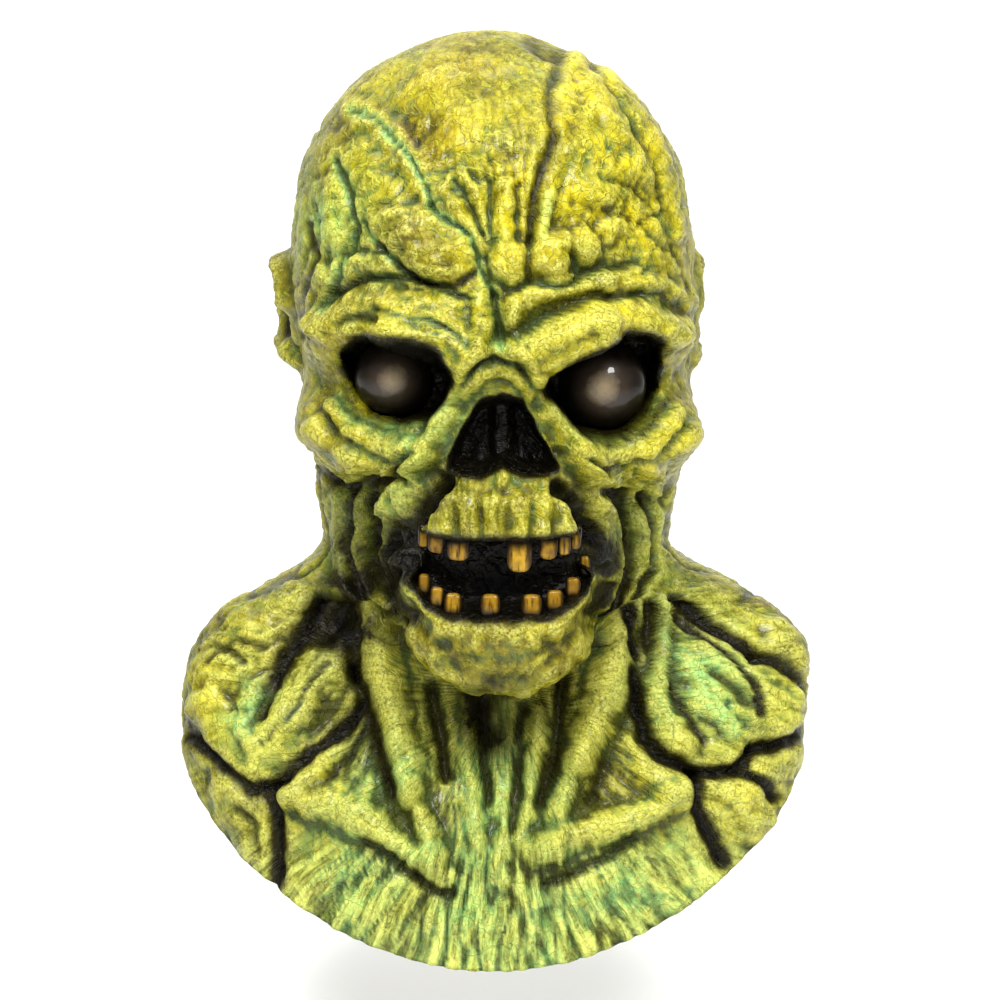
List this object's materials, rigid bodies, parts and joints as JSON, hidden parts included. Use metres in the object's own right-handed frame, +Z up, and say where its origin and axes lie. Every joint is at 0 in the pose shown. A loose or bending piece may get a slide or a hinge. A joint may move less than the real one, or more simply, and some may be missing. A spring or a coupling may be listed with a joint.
{
  "type": "ghoul mask",
  "caption": "Full-head latex mask of a rotten ghoul with sunken sockets, an open nose hole, bared gapped teeth, small ears, a cabled neck and a short bib-shaped bust, hollow and open below.",
  "frame": {"origin": "the crown seat: the point inside the top of the skull, midway across, on which the mask hangs on a head", "axes": "+Z up along the head's height, the face looks along -Y, +X towards the mask's own left ear"},
  "size_m": [0.3217, 0.2387, 0.4463],
  "materials": {
    "latex_skin": "semi-gloss painted latex, yellow-green over dark washes",
    "eye_acrylic": "clear-coated acrylic, dark brown with a cloudy beige pupil",
    "tooth_resin": "high-gloss amber resin with brown streaks"
  },
  "bodies": {
    "root": {"latex_skin": "latex_skin", "right_eye": "eye_acrylic", "left_eye": "eye_acrylic", "upper_tooth_1": "tooth_resin", "upper_tooth_2": "tooth_resin", "upper_tooth_3": "tooth_resin", "upper_tooth_4": "tooth_resin", "upper_tooth_5": "tooth_resin", "upper_tooth_6": "tooth_resin", "upper_tooth_7": "tooth_resin", "lower_tooth_1": "tooth_resin", "lower_tooth_2": "tooth_resin", "lower_tooth_3": "tooth_resin", "lower_tooth_4": "tooth_resin", "lower_tooth_5": "tooth_resin", "lower_tooth_6": "tooth_resin", "lower_tooth_7": "tooth_resin", "lower_tooth_8": "tooth_resin", "lower_tooth_9": "tooth_resin"}
  },
  "joints": []
}
